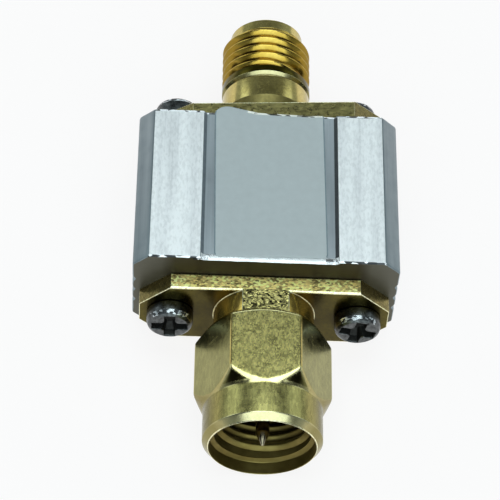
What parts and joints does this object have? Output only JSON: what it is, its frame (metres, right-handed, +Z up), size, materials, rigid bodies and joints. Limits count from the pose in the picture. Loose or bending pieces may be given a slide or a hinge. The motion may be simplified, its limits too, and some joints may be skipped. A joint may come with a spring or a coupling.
{
  "type": "surface acoustic wave filter",
  "caption": "Inline surface acoustic wave filter: a flat chamfered aluminium housing with a coaxial plug and coupling nut at one end and a threaded coaxial jack at the other.",
  "frame": {"origin": "under the middle of the part's box, at the height of the coupling nut's lowest flat", "axes": "+Y along the connectors' axis from the plug to the jack, +Z up through the label, +X across the housing"},
  "size_m": [0.0178, 0.0344, 0.0089],
  "materials": {
    "aluminium": "extruded, lightly brushed",
    "label_film": "satin",
    "gold_plate": "gold plated, turned",
    "contact_gold": "gold plated, smooth",
    "screw_steel": "dark, slightly rough",
    "spring_metal": "smooth",
    "silicone": "matte",
    "white_plastic": "satin",
    "laminate": "satin",
    "foil": "smooth",
    "ceramic": "matte",
    "crystal": "polished",
    "lid_metal": "smooth",
    "coil_body": "matte",
    "capacitor_body": "matte",
    "solder": "smooth"
  },
  "bodies": {
    "module": {"housing": "aluminium", "label": "label_film", "plug_body": "gold_plate", "snap_ring": "spring_metal", "gasket": "silicone", "plug_insulator": "white_plastic", "jack_insulator": "white_plastic", "plug_pin": "contact_gold", "jack_body": "gold_plate", "jack_contact": "contact_gold", "screw_1": "screw_steel", "screw_2": "screw_steel", "screw_3": "screw_steel", "screw_4": "screw_steel", "circuit_board": "laminate", "input_trace": "foil", "output_trace": "foil", "ground_foil": "foil", "package": "ceramic", "crystal": "crystal", "lid": "lid_metal", "bond_wire_1": "contact_gold", "bond_wire_2": "contact_gold", "coil_1": "coil_body", "coil_2": "coil_body", "capacitor_1": "capacitor_body", "capacitor_2": "capacitor_body", "solder_joint_1": "solder", "solder_joint_2": "solder"},
    "nut": {"coupling_nut": "gold_plate"}
  },
  "joints": [
    {"name": "nut_spin", "type": "hinge", "parent": "module", "child": "nut", "pos_m": [0, -0.01255, 0.004], "axis": [0, 1, 0], "continuous": true}
  ]
}
